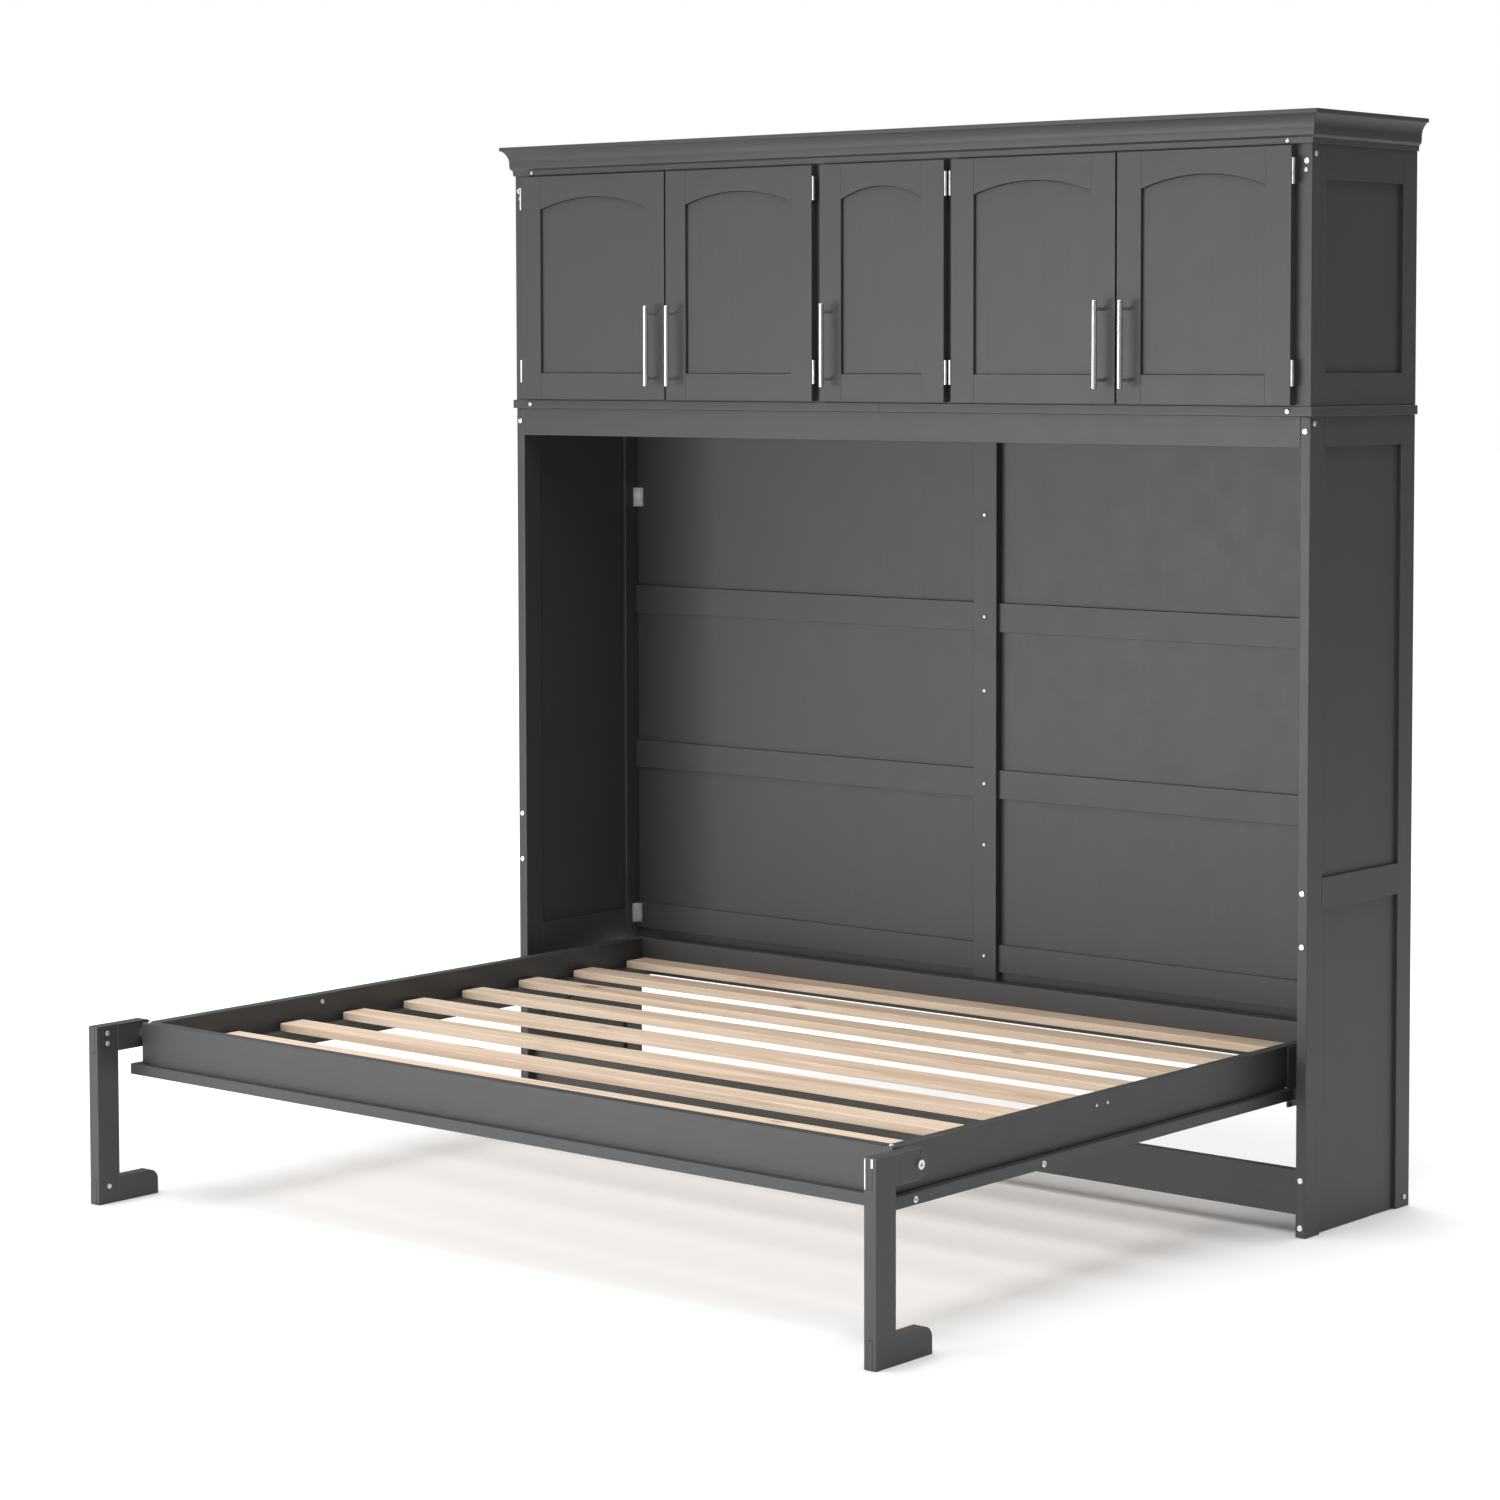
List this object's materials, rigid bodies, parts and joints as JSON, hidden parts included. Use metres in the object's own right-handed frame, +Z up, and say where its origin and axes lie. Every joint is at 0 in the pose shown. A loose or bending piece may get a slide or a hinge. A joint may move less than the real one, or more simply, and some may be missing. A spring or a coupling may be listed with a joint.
{
  "type": "wall bed",
  "caption": "Side-opening wall bed: a slatted bed frame swings down from a tall cabinet onto hanging legs, with doored cupboards overhead.",
  "frame": {"origin": "centre of the opened bed's footprint, on the floor", "axes": "+X to the right seen from the front, +Y towards the wall, +Z up"},
  "size_m": [2.333, 1.789, 2.345],
  "materials": {
    "painted_wood": "satin dark grey paint over solid wood and board",
    "slat_wood": "planed pale pine, unfinished",
    "brushed_nickel": "brushed nickel",
    "hinge_steel": "zinc plated",
    "bracket_steel": "zinc plated",
    "pivot_steel": "dark grey powder coat",
    "bush_nylon": "matte",
    "bolt_steel": "zinc plated"
  },
  "bodies": {
    "cabinet": {"back_centre_post": "painted_wood", "back_panels": "painted_wood", "back_rails": "painted_wood", "cabinet_bolts": "bolt_steel", "cabinet_hinge_leaves": "hinge_steel", "cabinet_pivot_plates": "pivot_steel", "corner_brackets": "bracket_steel", "crown_moulding": "painted_wood", "face_frame": "painted_wood", "floor_stretcher": "painted_wood", "header_rail": "painted_wood", "ledge_boards": "painted_wood", "lower_back_stiles": "painted_wood", "lower_front_stiles": "painted_wood", "lower_side_panels": "painted_wood", "lower_side_rails": "painted_wood", "pivot_rails": "painted_wood", "upper_back_panel": "painted_wood", "upper_boards": "painted_wood", "upper_dividers": "painted_wood", "upper_side_frames": "painted_wood", "upper_side_panels": "painted_wood"},
    "bed": {"bed_side_rails": "painted_wood", "bed_front_rail": "painted_wood", "bed_back_rail": "painted_wood", "underframe_battens": "painted_wood", "slat_cleats": "painted_wood", "bed_slats": "slat_wood", "leg_pivot_bolts": "bolt_steel", "bed_bolts": "bolt_steel", "bed_pivot_brackets": "pivot_steel", "bed_pivot_bushes": "bush_nylon"},
    "left_leg": {"left_leg_post": "painted_wood", "left_leg_arm": "painted_wood", "left_leg_foot": "painted_wood", "left_leg_bolts": "bolt_steel"},
    "right_leg": {"right_leg_post": "painted_wood", "right_leg_arm": "painted_wood", "right_leg_foot": "painted_wood", "right_leg_bolts": "bolt_steel"},
    "door_1": {"door_1_frame": "painted_wood", "door_1_panel": "painted_wood", "door_1_handle": "brushed_nickel", "door_1_hinge_leaves": "hinge_steel"},
    "door_2": {"door_2_frame": "painted_wood", "door_2_panel": "painted_wood", "door_2_handle": "brushed_nickel", "door_2_hinge_leaves": "hinge_steel"},
    "door_3": {"door_3_frame": "painted_wood", "door_3_panel": "painted_wood", "door_3_handle": "brushed_nickel", "door_3_hinge_leaves": "hinge_steel"},
    "door_4": {"door_4_frame": "painted_wood", "door_4_panel": "painted_wood", "door_4_handle": "brushed_nickel", "door_4_hinge_leaves": "hinge_steel"},
    "door_5": {"door_5_frame": "painted_wood", "door_5_panel": "painted_wood", "door_5_handle": "brushed_nickel", "door_5_hinge_leaves": "hinge_steel"}
  },
  "joints": [
    {"name": "bed_lift", "type": "hinge", "parent": "cabinet", "child": "bed", "pos_m": [0, 0.5585, 0.278], "axis": [-1, 0, 0], "range_deg": [0, 90]},
    {"name": "left_leg_swing", "type": "hinge", "parent": "bed", "child": "left_leg", "pos_m": [-1.084, -0.7675, 0.36], "axis": [1, 0, 0], "range_deg": [0, 90]},
    {"name": "right_leg_swing", "type": "hinge", "parent": "bed", "child": "right_leg", "pos_m": [1.084, -0.7675, 0.36], "axis": [1, 0, 0], "range_deg": [0, 90]},
    {"name": "door_1_hinge", "type": "hinge", "parent": "cabinet", "child": "door_1", "pos_m": [-1.104, 0.4615, 2.005], "axis": [0, 0, -1], "range_deg": [0, 105]},
    {"name": "door_2_hinge", "type": "hinge", "parent": "cabinet", "child": "door_2", "pos_m": [-0.182, 0.4615, 2.005], "axis": [0, 0, 1], "range_deg": [0, 105]},
    {"name": "door_3_hinge", "type": "hinge", "parent": "cabinet", "child": "door_3", "pos_m": [0.198, 0.4615, 2.005], "axis": [0, 0, 1], "range_deg": [0, 85]},
    {"name": "door_4_hinge", "type": "hinge", "parent": "cabinet", "child": "door_4", "pos_m": [0.211, 0.4615, 2.005], "axis": [0, 0, -1], "range_deg": [0, 85]},
    {"name": "door_5_hinge", "type": "hinge", "parent": "cabinet", "child": "door_5", "pos_m": [1.104, 0.4615, 2.005], "axis": [0, 0, 1], "range_deg": [0, 105]}
  ],
  "couplings": [
    {"joint": "left_leg_swing", "follows": "bed_lift", "ratio": 1},
    {"joint": "right_leg_swing", "follows": "bed_lift", "ratio": 1}
  ]
}
